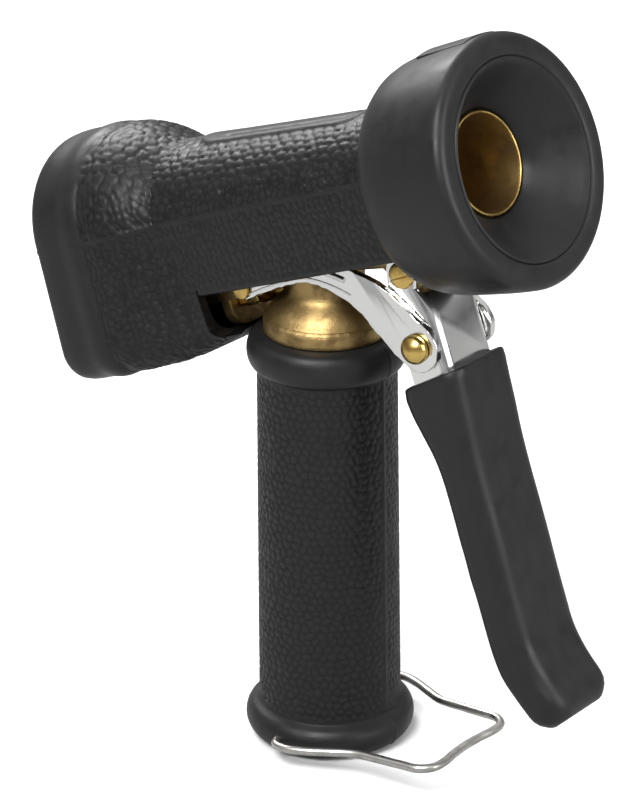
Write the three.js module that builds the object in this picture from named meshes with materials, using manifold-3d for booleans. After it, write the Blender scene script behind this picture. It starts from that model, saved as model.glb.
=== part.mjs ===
// Hose spray nozzle: a brass pistol body in thick rubber, with a chromed squeeze lever that pulls
// the valve stem back through two link arms, and a wire bail that can hold the lever squeezed.
// Millimetres, +Z up along the handle, +X towards the outlet, +Y to the left.
import * as THREE from "three";
import { mergeVertices } from "three/addons/utils/BufferGeometryUtils.js";
import Module from "manifold-3d";

const wasm = await Module();
wasm.setup();

// ---------- driving dimensions ----------
const GAP = 0.3; // clearance between pieces that touch
const TILT = THREE.MathUtils.degToRad(20.7); // barrel above square to the handle
const AXIS_Z = 157.3; // where the barrel's axis crosses the handle's

const TUBE_R = 14.2; // brass tube inside the grip
const FRONT = 52; // front end of the brass barrel, from the handle's axis
const handle = {
  tubeR: TUBE_R,
  threadR: 10.3, // hose thread, root of the groove
  threadCoreR: 9.4, // hose thread, crest
  threadDepth: 15,
  threadPitch: 1.814,
  boreR: 7.5,
  flangeR: TUBE_R + 2.8,
  flangeZ: AXIS_Z - 37.5,
  flangeT: 3.8,
  domeTop: AXIS_Z - 30.3,
  neckR: 10.2,
};
const grip = {
  baseR: TUBE_R + 5.6,
  topR: TUBE_R + 4.8,
  baseBeadR: TUBE_R + 9.3,
  topBeadR: TUBE_R + 7.5,
  baseBeadH: 9.6,
  topZ: handle.flangeZ - GAP,
};
const barrel = { r: 16, boreR: 11, rear: -38, front: FRONT, seatS: 25, seatT: 3, outletR: 13.9 };
const LEVER_HALF = 10.4; // half the width over the lever's two flanges
const cover = {
  slotHalf: LEVER_HALF + 4.2, // half the width of the long slot underneath
  skirtT: -18, // lower edge of the skirts
  skirtHalf: LEVER_HALF + 8.1,
  boreClear: 0.4,
  wall: 3.6,
  floor: 2.4, // thickness of the housing's flat foot
  rearS: -85.3,
  bandFront: -67,
  slotRear: -38.5,
  slotFront: FRONT - 18,
  rearHoleR: 8,
};
const bell = { r: 31.9, front: FRONT + 16.2, back: FRONT - 18, mouthR: 24, throatR: 14, throatS: FRONT + 3.4 };
const outlet = { r: barrel.outletR - 0.35, boreR: barrel.outletR - 1.2, front: FRONT + 3.6, rear: 28.6 };
const stem = { r: 3, tipR: 2.5, tipS: 44, rearS: -73, headR: 9, headT: 4.5 };
const spring = { r: 7.6, wire: 1.5, turns: 6 };
const pivot = { s: 27.7, t: -22.6, boltR: 2.2 }; // lever's hinge in the barrel's frame
const lever = { half: LEVER_HALF, sheet: 1.6, sleeveHalf: LEVER_HALF + 2.1 };
const link = { s: 26.8, t: -41.8, boltR: 2.6, plate: 2, rearS: -27, rearT: -18.8, pinR: 1.6 };
const bail = { wireR: 1.2, z: 4.8, rise: THREE.MathUtils.degToRad(5) };

// ---------- materials ----------
const rubber = new THREE.MeshStandardMaterial({ color: 0x1d1e20, roughness: 0.62, metalness: 0 });
const brass = new THREE.MeshStandardMaterial({ color: 0xb5934c, roughness: 0.38, metalness: 1 });
const chrome = new THREE.MeshStandardMaterial({ color: 0xcfcfcc, roughness: 0.14, metalness: 1 });
const steel = new THREE.MeshStandardMaterial({ color: 0xaeada6, roughness: 0.26, metalness: 1 });
const seal = new THREE.MeshStandardMaterial({ color: 0x26282b, roughness: 0.7, metalness: 0 });

// ---------- solids ----------
// A closed geometry as a manifold solid, its faces turned outwards.
function solid(geometry) {
  const g = geometry.clone();
  g.deleteAttribute("normal");
  g.deleteAttribute("uv");
  const merged = mergeVertices(g, 1e-4);
  const vertProperties = new Float32Array(merged.attributes.position.array);
  const triVerts = new Uint32Array(merged.index.array);
  const made = new wasm.Manifold(new wasm.Mesh({ numProp: 3, vertProperties, triVerts }));
  if (made.volume() > 0) return made;
  for (let i = 0; i < triVerts.length; i += 3) {
    [triVerts[i + 1], triVerts[i + 2]] = [triVerts[i + 2], triVerts[i + 1]];
  }
  return new wasm.Manifold(new wasm.Mesh({ numProp: 3, vertProperties, triVerts }));
}

function geometryOf(made) {
  const m = made.getMesh();
  const points = new Float32Array(m.numVert * 3);
  for (let i = 0; i < m.numVert; i++) {
    points.set(m.vertProperties.subarray(i * m.numProp, i * m.numProp + 3), i * 3);
  }
  const g = new THREE.BufferGeometry();
  g.setAttribute("position", new THREE.BufferAttribute(points, 3));
  g.setIndex(new THREE.BufferAttribute(new Uint32Array(m.triVerts), 1));
  g.computeVertexNormals();
  return g;
}

function add(parent, name, made, material) {
  const mesh = new THREE.Mesh(geometryOf(made), material);
  mesh.name = name;
  parent.add(mesh);
  return mesh;
}

const moved = (geometry, matrix) => geometry.clone().applyMatrix4(matrix);
const shift = (x, y, z) => new THREE.Matrix4().makeTranslation(x, y, z);

// Turned shapes: the profile is [radius, place along the axis] pairs.
function turned(profile, axis, segments = 36) {
  const points = profile.map(([r, at]) => new THREE.Vector2(Math.max(r, 0), at));
  const g = new THREE.LatheGeometry(points, segments);
  if (axis === "x") g.rotateZ(-Math.PI / 2);
  if (axis === "z") g.rotateX(Math.PI / 2);
  return solid(g);
}
const rod = (r, from, to, axis, segments = 24) =>
  turned([[0, from], [r, from], [r, to], [0, to]], axis, segments);
const ring = (r, bore, from, to, axis, segments = 32) =>
  turned([[bore, from], [r, from], [r, to], [bore, to], [bore, from]], axis, segments);

function block(x0, x1, y0, y1, z0, z1) {
  const g = new THREE.BoxGeometry(x1 - x0, y1 - y0, z1 - z0);
  return solid(moved(g, shift((x0 + x1) / 2, (y0 + y1) / 2, (z0 + z1) / 2)));
}

// A hexagonal prism along X, its flats apart by acrossFlats.
const hexagon = (acrossFlats, from, to) => rod(acrossFlats / Math.sqrt(3), from, to, "x", 6);

// An outline in the XZ plane, given a thickness from y0 to y1.
function plate(shape, y0, y1, segments = 8) {
  const g = new THREE.ExtrudeGeometry(shape, { depth: y1 - y0, bevelEnabled: false, curveSegments: segments });
  g.rotateX(Math.PI / 2);
  return solid(moved(g, shift(0, y1, 0)));
}

// A smooth outline through points, as a shape.
const curvePoints = (points, count) =>
  new THREE.CatmullRomCurve3(points.map(([x, z]) => new THREE.Vector3(x, z, 0)), false, "centripetal")
    .getPoints(count)
    .map((p) => new THREE.Vector2(p.x, p.y));

// Walls through a row of closed outlines that all have the same number of points.
function loft(rows) {
  const count = rows[0].length;
  const points = rows.flat();
  const index = [];
  for (let i = 0; i < rows.length - 1; i++) {
    for (let j = 0; j < count; j++) {
      const a = i * count + j;
      const b = i * count + ((j + 1) % count);
      index.push(a, b, b + count, a, b + count, a + count);
    }
  }
  for (const [row, turn] of [[0, 1], [rows.length - 1, 0]]) {
    const centre = points.length;
    const sum = rows[row].reduce((c, p) => c.add(p), new THREE.Vector3());
    points.push(sum.divideScalar(count));
    for (let j = 0; j < count; j++) {
      const a = row * count + j;
      const b = row * count + ((j + 1) % count);
      index.push(centre, turn ? b : a, turn ? a : b);
    }
  }
  const g = new THREE.BufferGeometry().setFromPoints(points);
  g.setIndex(index);
  return solid(g);
}

// A round wire or rod along a curve.
function wire(curve, r, steps, sides = 10) {
  const shape = new THREE.Shape();
  shape.absarc(0, 0, r, 0, Math.PI * 2);
  return solid(
    new THREE.ExtrudeGeometry(shape, { steps, extrudePath: curve, bevelEnabled: false, curveSegments: sides }),
  );
}

// ---------- frames ----------
const root = new THREE.Group();
const handleFrame = new THREE.Group();
const barrelFrame = new THREE.Group();
barrelFrame.position.set(0, 0, AXIS_Z);
barrelFrame.rotation.y = -TILT;
barrelFrame.updateMatrix();
root.add(handleFrame, barrelFrame);
const toHandle = barrelFrame.matrix;
const toBarrel = toHandle.clone().invert();
const inHandle = (made) => made.transform(toHandle.elements);
const inBarrel = (made) => made.transform(toBarrel.elements);
const placeOf = (s, t) => new THREE.Vector3(s, 0, t).applyMatrix4(toHandle);

// ---------- body casting ----------
function bodyCasting() {
  const h = handle;
  const tube = rod(h.tubeR, 0.9, h.flangeZ + 1, "z", 32);
  const dome = turned(
    [
      [0, h.flangeZ],
      [h.flangeR, h.flangeZ],
      [h.flangeR, h.flangeZ + h.flangeT],
      [h.flangeR - 0.7, h.flangeZ + h.flangeT + 0.7],
      [h.flangeR * 0.8, h.domeTop - 1.3],
      [h.neckR, h.domeTop],
      [h.neckR, AXIS_Z - 5],
      [0, AXIS_Z - 5],
    ],
    "z",
  );
  const b = barrel;
  const shell = rod(b.r, b.rear, b.front, "x");
  const lug = new THREE.Shape();
  lug.moveTo(2, -10);
  lug.lineTo(2, -19);
  lug.lineTo(pivot.s - 8, -20.5);
  lug.lineTo(pivot.s - 4.6, pivot.t - 2.2);
  lug.absarc(pivot.s, pivot.t, 5, Math.PI * 1.15, Math.PI * 1.95);
  lug.lineTo(pivot.s + 4.8, -10);
  const earHalf = lever.half - lever.sheet - GAP;
  const ear = plate(lug, -earHalf, earHalf);
  const across = solid(
    new THREE.CylinderGeometry(pivot.boltR + GAP, pivot.boltR + GAP, 30, 20).translate(pivot.s, 0, pivot.t),
  );
  const passage = [
    rod(b.boreR, b.rear - 1, b.seatS - 0.5, "x"),
    rod(b.outletR, b.seatS - 0.6, b.front + 1, "x"),
  ];
  let made = tube.add(dome).add(inHandle(shell)).add(inHandle(ear));
  for (const cut of passage) made = made.subtract(inHandle(cut));
  made = made.subtract(inHandle(across)).subtract(rod(h.boreR, 10, AXIS_Z, "z"));
  return made.subtract(inletThread()).subtract(bailSockets());
}

// The hose thread as rings of its pitch, with a mouth chamfer.
function inletThread() {
  const h = handle;
  const profile = [[0, -1], [h.threadR + 0.6, -1], [h.threadR + 0.6, 0.9]];
  for (let z = 0.9; z + h.threadPitch < h.threadDepth; z += h.threadPitch) {
    profile.push([h.threadCoreR, z + h.threadPitch * 0.35]);
    profile.push([h.threadR, z + h.threadPitch * 0.8]);
  }
  profile.push([h.threadCoreR + 1.4, h.threadDepth], [0, h.threadDepth]);
  return turned(profile, "z", 28);
}

// Cross holes at the foot of the handle for the two ends of the bail.
function bailSockets() {
  const g = new THREE.CylinderGeometry(bail.wireR + GAP, bail.wireR + GAP, 80, 14);
  const through = solid(g.translate(0, 0, bail.z));
  return through.subtract(block(-9, 9, -handle.threadR - 1, handle.threadR + 1, -5, 15));
}

add(handleFrame, "body_casting", bodyCasting(), brass);

// ---------- grip ----------
function gripSleeve() {
  const g = grip;
  const bore = handle.tubeR + GAP;
  const profile = [[bore, 0], [g.baseR - 0.6, 0]];
  const baseMid = g.baseBeadH / 2;
  for (const a of [-60, -30, 0, 30, 60]) {
    const k = THREE.MathUtils.degToRad(a);
    const reach = g.baseBeadR - g.baseR;
    profile.push([g.baseR + reach * Math.cos(k), baseMid + (baseMid - 0.2) * Math.sin(k)]);
  }
  profile.push([g.baseR, g.baseBeadH]);
  const topStart = g.topZ - 10;
  profile.push([g.topR, topStart]);
  for (const a of [-60, -30, 0, 30, 60]) {
    const k = THREE.MathUtils.degToRad(a);
    const reach = g.topBeadR - g.topR;
    profile.push([g.topR + reach * Math.cos(k), topStart + 4.6 + 4.5 * Math.sin(k)]);
  }
  profile.push([handle.flangeR + 0.4, g.topZ], [bore, g.topZ], [bore, 0]);
  const sleeve = turned(profile, "z", 44);
  const holes = new THREE.CylinderGeometry(bail.wireR + GAP, bail.wireR + GAP, 80, 14);
  return sleeve.subtract(solid(holes.translate(0, 0, bail.z)));
}
add(handleFrame, "grip_sleeve", gripSleeve(), rubber);

// Flat washer that the hose tail seals against, at the bottom of the thread.
add(
  handleFrame,
  "inlet_washer",
  ring(handle.threadCoreR - GAP, handle.boreR - 1, handle.threadDepth - 2.6, handle.threadDepth - GAP, "z"),
  seal,
);

// ---------- barrel cover ----------
// One cross-section of the cover: a round back, straight sides and a flat foot with round corners.
function coverSection(s, [half, centre, footHalf, foot, corner]) {
  const shape = new THREE.Shape();
  shape.moveTo(0, foot);
  shape.lineTo(footHalf - corner, foot);
  shape.absarc(footHalf - corner, foot + corner, corner, -Math.PI / 2, 0);
  shape.lineTo(half, centre);
  shape.absarc(0, centre, half, 0, Math.PI);
  shape.lineTo(-footHalf, foot + corner);
  shape.absarc(-(footHalf - corner), foot + corner, corner, Math.PI, Math.PI * 1.5);
  return shape.getPoints(11).map((p) => new THREE.Vector3(s, p.x, p.y));
}

// Rear housing along the barrel: [place, half width, centre, half width at the foot, foot, corner].
const bootStations = [
  [cover.rearS, 26.1, 3.1, 28.2, -33.8, 8],
  [cover.rearS + 1.2, 27.3, 3.1, 29.4, -35, 9],
  [cover.bandFront - 0.6, 27.6, 3.1, 29.6, -35.4, 9],
  [cover.bandFront, 26.9, 3.1, 28.9, -34.9, 9],
  [-60.5, 26.6, 3.1, 27.8, -35.2, 10],
  [-54.5, 25, 2.8, 25.4, -35.2, 10],
  [-49, 22.9, 2, 22.6, -34.8, 9],
  [-44.5, 20.8, 1.4, 20.4, -33.8, 8],
  [cover.slotRear - 0.1, 19.6, 1, 19, -31.9, 6],
];
const tubeStations = [
  [-60, 21, 1.2, cover.skirtHalf, cover.skirtT, 1],
  [-44, 21, 1.2, cover.skirtHalf, cover.skirtT, 1],
  [bell.back + 4, 18.8, -0.6, cover.skirtHalf - 0.4, cover.skirtT, 1],
];
const stationRow = ([s, ...outline]) => coverSection(s, outline);

// The same station shrunk by the wall, for the hollow of the housing.
const hollowStation = (s, [, half, centre, footHalf, foot, corner]) =>
  coverSection(s, [half - cover.wall, centre, footHalf - cover.wall, foot + cover.floor, corner - 2]);

function bellSolid() {
  const b = bell;
  const edge = 2; // radius of the front rim's outer edge
  const profile = [
    [b.throatR, b.throatS - 6],
    [b.throatR, b.throatS],
    [16.2, b.throatS + 2.8],
    [19.4, b.throatS + 6.6],
    [22, b.throatS + 10],
    [b.mouthR, b.front - 0.9],
    [b.mouthR + 2, b.front - 0.7],
    [b.mouthR + 2.1, b.front],
    [b.r - edge, b.front],
    [b.r - edge * 0.29, b.front - edge * 0.29],
    [b.r, b.front - edge],
    [b.r - 0.9, b.back + 12],
    [b.r - 1.6, b.back + 4],
    [b.r - 3, b.back + 1],
    [b.r - 5.5, b.back - 0.4],
    [barrel.r + 1.5, b.back],
    [barrel.r + 1.5, b.throatS - 6],
    [b.throatR, b.throatS - 6],
  ];
  return turned(profile, "x", 48);
}

function barrelCover() {
  const boot = loft(bootStations.map(stationRow));
  const tube = loft(tubeStations.map(stationRow));
  const solidBell = bellSolid().add(rod(bell.throatR + 4, bell.back + 0.5, bell.throatS - 5, "x"));
  const pad = block(FRONT - 5.4, FRONT + 13.6, -9, 9, 26, bell.r + 0.9);
  const hollow = loft([
    hollowStation(cover.rearS + cover.wall, bootStations[1]),
    hollowStation(cover.bandFront, bootStations[2]),
    ...bootStations.slice(4, -1).map((row) => hollowStation(row[0], row)),
    hollowStation(cover.slotRear + 3, bootStations[8]),
  ]);
  const slotHalf = cover.slotHalf;
  const cuts = [
    hollow,
    rod(barrel.r + cover.boreClear, -50, barrel.front + GAP, "x"),
    rod(bell.throatR, barrel.front, bell.throatS + 0.1, "x"),
    block(cover.slotRear, cover.slotFront, -slotHalf, slotHalf, -60, -2),
    rod(cover.rearHoleR, cover.rearS - 1, cover.rearS + 8, "x"),
  ];
  let made = boot.add(tube).add(solidBell).add(pad);
  for (const cut of cuts) made = made.subtract(cut);
  return made;
}
add(barrelFrame, "barrel_cover", barrelCover(), rubber);

// ---------- outlet and valve ----------
function outletSleeve() {
  const o = outlet;
  return turned(
    [
      [o.boreR, o.rear],
      [o.r, o.rear],
      [o.r, o.front - 0.3],
      [o.r - 0.25, o.front],
      [o.boreR + 0.25, o.front],
      [o.boreR, o.front - 0.3],
      [o.boreR, o.rear],
    ],
    "x",
  );
}
add(barrelFrame, "outlet_sleeve", outletSleeve(), brass);
const seatFront = barrel.seatS + barrel.seatT;
add(barrelFrame, "valve_seat", ring(barrel.outletR - GAP, 7, barrel.seatS - 0.2, seatFront, "x"), brass);

// Gland at the back of the barrel: a hexagon nut that shuts the bore and guides the stem.
function glandNut() {
  const head = hexagon(26, barrel.rear - 9, barrel.rear - GAP);
  const spigot = rod(barrel.boreR - GAP, barrel.rear - 1, barrel.rear + 6, "x");
  const bore = rod(stem.r + GAP, barrel.rear - 10, barrel.rear + 7, "x", 20);
  const cup = rod(6.2, barrel.rear - 4, barrel.rear + 1.6, "x", 20);
  return head.add(spigot).subtract(bore).subtract(cup);
}
add(barrelFrame, "gland_nut", glandNut(), brass);
add(barrelFrame, "stem_packing", ring(5.9, stem.r + 0.25, barrel.rear - 3.7, barrel.rear - 1.5, "x", 20), seal);
add(barrelFrame, "packing_washer", ring(5.9, stem.r + 0.3, barrel.rear - 1.2, barrel.rear + 1.2, "x", 20), brass);

// ---------- stem: everything that slides with it ----------
const headFront = barrel.seatS - 2.4;
function valveStem() {
  const s = stem;
  return turned(
    [
      [0, s.rearS],
      [s.r, s.rearS],
      [s.r, headFront - s.headT],
      [s.headR, headFront - s.headT],
      [s.headR, headFront],
      [4, headFront],
      [4, headFront + 6],
      [s.tipR, headFront + 9],
      [s.tipR, s.tipS - 0.6],
      [s.tipR - 0.6, s.tipS],
      [1, s.tipS],
      [0, s.tipS - 1],
    ],
    "x",
    20,
  );
}
add(barrelFrame, "valve_stem", valveStem(), brass);
add(barrelFrame, "valve_washer", ring(stem.headR, 4.3, headFront + 0.2, barrel.seatS - 0.5, "x"), seal);

// Return spring: a helix inside the bore, from the gland to the back of the valve head.
function returnSpring() {
  const from = barrel.rear + 6 + GAP + spring.wire;
  const to = headFront - stem.headT - GAP - spring.wire;
  const points = [];
  const steps = spring.turns * 8;
  for (let i = 0; i <= steps; i++) {
    const a = (i / 8) * Math.PI * 2;
    const s = from + ((to - from) * i) / steps;
    points.push(new THREE.Vector3(s, spring.r * Math.cos(a), spring.r * Math.sin(a)));
  }
  return wire(new THREE.CatmullRomCurve3(points), spring.wire / 2, steps * 2, 4);
}
add(barrelFrame, "return_spring", returnSpring(), steel);

// Crosshead: a brass carriage whose two cheeks run under the barrel back to the stem's rear end.
const armInner = lever.half + GAP;
const armOuter = armInner + link.plate;
const cheek = { y1: armInner - GAP, y0: armInner - GAP - 2.2, top: -16.2, bottom: -21.6, front: -22.5 };
const bridge = { back: -64, front: -60 };
const plateAt = { back: -38.2, front: -35, bottom: -29.3 }; // cross plate that joins the cheeks
const stud = { r: 2.2, t: -22.4, back: -41, front: -22.6 };
function crosshead() {
  const outline = new THREE.Shape();
  const { back, front, bottom } = plateAt;
  outline.moveTo(-cheek.y1, cheek.top);
  outline.lineTo(-cheek.y1, bottom + 5);
  outline.absarc(-cheek.y1 + 5, bottom + 5, 5, Math.PI, Math.PI * 1.5);
  outline.lineTo(cheek.y1 - 5, bottom);
  outline.absarc(cheek.y1 - 5, bottom + 5, 5, -Math.PI / 2, 0);
  outline.lineTo(cheek.y1, cheek.top);
  const flat = new THREE.ExtrudeGeometry(outline, { depth: front - back, bevelEnabled: false, curveSegments: 6 });
  flat.rotateX(Math.PI / 2).rotateZ(Math.PI / 2).translate(back, 0, 0);
  let made = solid(flat).subtract(rod(stud.r + GAP, back - 1, front + 1, "x", 20).translate([0, 0, stud.t]));
  for (const side of [-1, 1]) {
    const y = (side * (cheek.y0 + cheek.y1)) / 2;
    const half = (cheek.y1 - cheek.y0) / 2;
    made = made.add(block(bridge.back, cheek.front, y - half, y + half, cheek.bottom, cheek.top));
  }
  const post = block(bridge.back, bridge.front, -cheek.y1, cheek.y1, cheek.bottom, -4);
  const eye = rod(9, bridge.back, bridge.front, "x", 24);
  made = made.add(post).add(eye).subtract(rod(stem.r + GAP, bridge.back - 1, bridge.front + 1, "x", 20));
  const pins = new THREE.CylinderGeometry(link.pinR + GAP, link.pinR + GAP, 40, 14);
  return made.subtract(solid(pins.translate(link.rearS, 0, link.rearT)));
}
add(barrelFrame, "crosshead", crosshead(), brass);

// Stroke nut on its stud: the hexagon in front of the cross plate sets where the lever rests.
function strokeNut() {
  const from = plateAt.front + GAP;
  const body = rod(8.4, from, from + 7, "x", 6).add(rod(6.2, from + 6.9, from + 8.2, "x", 24));
  const placed = body.translate([0, 0, stud.t + 3]).intersect(
    block(from - 1, 0, -cheek.y0 + GAP, cheek.y0 - GAP, plateAt.bottom + 4.5, cheek.top - 1.2),
  );
  return placed.subtract(rod(stud.r + GAP, from - 1, from + 12, "x", 20).translate([0, 0, stud.t]));
}
add(barrelFrame, "stroke_nut", strokeNut(), brass);
const studBody = turned(
  [[0, stud.back], [4, stud.back], [4, plateAt.back - GAP], [stud.r, plateAt.back - GAP], [stud.r, stud.front],
    [0, stud.front]],
  "x", 20,
);
add(barrelFrame, "stroke_stud", studBody.translate([0, 0, stud.t]), brass);

const nutLength = 4;
const boredHexagon = (flats, from, to) =>
  hexagon(flats, from, to).subtract(rod(stem.r + GAP, from - 1, to + 1, "x", 20));
add(barrelFrame, "stem_front_nut", boredHexagon(12, bridge.front + GAP, bridge.front + GAP + nutLength), brass);
add(barrelFrame, "stem_rear_nut", boredHexagon(12, bridge.back - GAP - nutLength, bridge.back - GAP), brass);
add(
  barrelFrame,
  "stem_lock_nut",
  boredHexagon(11, bridge.back - 2 * GAP - 2 * nutLength + 1, bridge.back - 2 * GAP - nutLength),
  brass,
);

// ---------- link arms ----------
// Centre line of an arm in the barrel's frame, with its width at each point.
const armLine = [
  [link.rearS, link.rearT, 2.9],
  [-14, -17, 3.1],
  [-2.5, -17.1, 3.2],
  [4.5, -19.6, 3.7],
  [11.4, -23.6, 4.5],
  [15.1, -26.5, 5.2],
  [17.9, -29.6, 5.9],
  [21.1, -34, 6.3],
  [23.8, -38, 6.5],
  [link.s, link.t, 6.6],
];
function armOutline() {
  const centre = new THREE.CatmullRomCurve3(armLine.map(([s, t]) => new THREE.Vector3(s, t, 0)));
  const widths = new THREE.CatmullRomCurve3(armLine.map(([, , w], i) => new THREE.Vector3(i, w, 0)));
  const upper = [];
  const lower = [];
  const steps = 18;
  for (let i = 0; i <= steps; i++) {
    const p = centre.getPoint(i / steps);
    const d = centre.getTangent(i / steps);
    const w = widths.getPoint(i / steps).y;
    upper.push(new THREE.Vector2(p.x - d.y * w, p.y + d.x * w));
    lower.push(new THREE.Vector2(p.x + d.y * w, p.y - d.x * w));
  }
  const shape = new THREE.Shape();
  const endTurn = centre.getTangent(1);
  const startTurn = centre.getTangent(0);
  const round = (at, turn, w) =>
    [60, 30, 0, -30, -60].map((a) => {
      const k = Math.atan2(turn.y, turn.x) + THREE.MathUtils.degToRad(a);
      return new THREE.Vector2(at[0] + w * Math.cos(k), at[1] + w * Math.sin(k));
    });
  const front = round(armLine[armLine.length - 1], endTurn, armLine[armLine.length - 1][2]);
  const rear = round(armLine[0], startTurn.clone().negate(), armLine[0][2]);
  shape.setFromPoints([...upper, ...front, ...lower.reverse(), ...rear]);
  return shape;
}
function linkArm(side) {
  const ends = [side * armInner, side * armOuter];
  const arm = plate(armOutline(), Math.min(...ends), Math.max(...ends));
  const bore = new THREE.CylinderGeometry(link.boltR + GAP, link.boltR + GAP, 60, 20);
  const pinBore = new THREE.CylinderGeometry(link.pinR + GAP, link.pinR + GAP, 60, 16);
  return arm
    .subtract(solid(bore.translate(link.s, 0, link.t)))
    .subtract(solid(pinBore.translate(link.rearS, 0, link.rearT)));
}
const sides = [["right", -1], ["left", 1]];
for (const [word, side] of sides) add(barrelFrame, `link_arm_${word}`, linkArm(side), chrome);

// Short headed pins that join the arms to the crosshead.
function arrangedAcross(profile, side, s, t, segments = 20) {
  const made = turned(profile, "z", segments);
  const turn = new THREE.Matrix4().makeRotationX((-side * Math.PI) / 2);
  return made.transform(turn.elements).transform(shift(s, 0, t).elements);
}
for (const [word, side] of sides) {
  const pin = arrangedAcross(
    [[0, cheek.y0], [link.pinR, cheek.y0], [link.pinR, armOuter + GAP], [2.7, armOuter + GAP],
      [2.5, armOuter + 1], [0, armOuter + 1.2]],
    side, link.rearS, link.rearT, 14,
  );
  add(barrelFrame, `crosshead_pin_${word}`, pin, brass);
}

// ---------- lever ----------
const pivotAt = placeOf(pivot.s, pivot.t);
const linkAt = placeOf(link.s, link.t);
const leverFrame = new THREE.Group();
leverFrame.position.copy(pivotAt);
root.add(leverFrame);

// Front and back lines of the lever's rubber, from top to tip, measured from the hinge.
const sleeveFront = [
  [17.3, -21.6], [19.1, -28.4], [21.2, -35.6], [23.3, -43.4], [26.4, -53], [29.7, -62.2], [33, -71.8],
  [35.8, -80.6], [38.4, -88.4], [40.7, -95.2], [44.4, -101.6], [48.6, -107],
];
const sleeveBack = [
  [0.4, -32.2], [3.8, -38.6], [7.6, -43.9], [11, -48.7], [13.6, -53.8], [15.6, -58.9], [17.5, -64.2],
  [19.3, -69.5], [21.2, -74.7], [23, -80], [25.1, -85.2], [27, -90.5], [28.9, -95.8], [31, -101],
  [33.8, -106], [38, -110.4], [42.4, -114.4],
];
function sleeveOutline(inset) {
  const front = curvePoints(sleeveFront, 14);
  const back = curvePoints(sleeveBack, 14);
  const tip = { x: 46.6, z: -111.4, r: 5 };
  const round = [25, -10, -45, -80, -115].map((a) => {
    const k = THREE.MathUtils.degToRad(a);
    return new THREE.Vector2(tip.x + tip.r * Math.cos(k), tip.z + tip.r * Math.sin(k));
  });
  const all = [...front, ...round, ...back.reverse()];
  if (!inset) return new THREE.Shape(all);
  return new THREE.Shape(insetOutline(all, inset));
}

// Moves each point of a clockwise outline inwards, along the mean of its two edges' normals.
function insetOutline(points, by) {
  const normal = (a, b) => new THREE.Vector2(b.y - a.y, a.x - b.x).normalize();
  return points.map((p, i) => {
    const before = points[(i + points.length - 1) % points.length];
    const after = points[(i + 1) % points.length];
    const n = normal(before, p).add(normal(p, after)).normalize();
    return new THREE.Vector2(p.x + n.x * by, p.y + n.y * by);
  });
}

// The chromed channel: a web along the front with a flange on each side.
const webLine = [
  [7.2, -4.8], [8.8, -9.8], [14.9, -25.6], [17.2, -33], [19.6, -42], [25.3, -60.8], [31.8, -79.4], [34.4, -87.6],
];
function channelOutline() {
  const back = [[26.8, -84], [21.2, -68], [15.6, -52], [10.4, -40], [3.4, -29.4], [-4.6, -9]];
  const shape = new THREE.Shape();
  shape.moveTo(webLine[0][0], webLine[0][1]);
  for (const [x, z] of webLine.slice(1)) shape.lineTo(x, z);
  for (const [x, z] of back) shape.lineTo(x, z);
  shape.lineTo(-5.6, -1);
  shape.absarc(0, 0, 5.7, Math.PI * 1.02, 0, true);
  return shape;
}
function leverChannel() {
  const { half, sheet } = lever;
  const outer = plate(channelOutline(), -half, half);
  const shape = new THREE.Shape();
  const inner = webLine.map(([x, z]) => [x - sheet * 1.08, z]);
  shape.moveTo(inner[0][0] + 1.1, 12);
  shape.lineTo(inner[0][0] + 1.1, inner[0][1] + 2);
  for (const [x, z] of inner) shape.lineTo(x, z);
  shape.lineTo(30, -100);
  shape.lineTo(-30, -100);
  shape.lineTo(-30, 12);
  let made = outer.subtract(plate(shape, -half + sheet, half - sheet));
  const window = block(-4, 12, -half + sheet, half - sheet, -4.6, 12);
  made = made.subtract(window);
  const boltBore = new THREE.CylinderGeometry(link.boltR + GAP, link.boltR + GAP, 60, 20);
  const x = linkAt.x - pivotAt.x;
  const z = linkAt.z - pivotAt.z;
  const hinge = new THREE.CylinderGeometry(pivot.boltR + GAP, pivot.boltR + GAP, 60, 20);
  return made.subtract(solid(boltBore.translate(x, 0, z))).subtract(solid(hinge));
}
add(leverFrame, "lever_channel", leverChannel(), chrome);

function leverSleeve() {
  const outer = plate(sleeveOutline(0), -lever.sleeveHalf, lever.sleeveHalf);
  const grow = GAP + 0.05;
  const pocket = new THREE.Shape();
  pocket.moveTo(webLine[1][0] + grow, webLine[1][1]);
  for (const [x, z] of webLine.slice(2)) pocket.lineTo(x + grow, z);
  pocket.lineTo(34.4 + grow, -87.6 - grow);
  pocket.lineTo(26.6, -84 - grow);
  for (const [x, z] of [[21.2, -68], [15.6, -52], [10.4, -40], [3.4, -29.4], [-4.6, -9]]) {
    pocket.lineTo(x - grow, z - grow * 0.5);
  }
  return outer.subtract(plate(pocket, -lever.half - GAP, lever.half + GAP));
}
add(leverFrame, "lever_grip", leverSleeve(), rubber);

function hingeHole(r) {
  return solid(new THREE.CylinderGeometry(r, r, 60, 20));
}

// Hinge bolt of the lever, through the casting's lug, with a slotted head and a nut.
function hingeBolt() {
  const half = lever.half;
  const bolt = arrangedAcross(
    [[0, -half - 2.1], [pivot.boltR, -half - 2.1], [pivot.boltR, half + GAP], [3.6, half + GAP],
      [3.4, half + 1.7], [2.4, half + 2.3], [0, half + 2.5]],
    -1, 0, 0, 20,
  );
  return bolt.subtract(block(-6, 6, -half - 4, -half - 1.6, -0.4, 0.4));
}
add(leverFrame, "lever_hinge_bolt", hingeBolt(), brass);
const hingeNut = arrangedAcross(
  [[0, lever.half + GAP], [3.8, lever.half + GAP], [3.8, lever.half + 2.2], [0, lever.half + 2.2]],
  1, 0, 0, 6,
).subtract(hingeHole(pivot.boltR + 0.2));
add(leverFrame, "lever_hinge_nut", hingeNut, brass);

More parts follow.
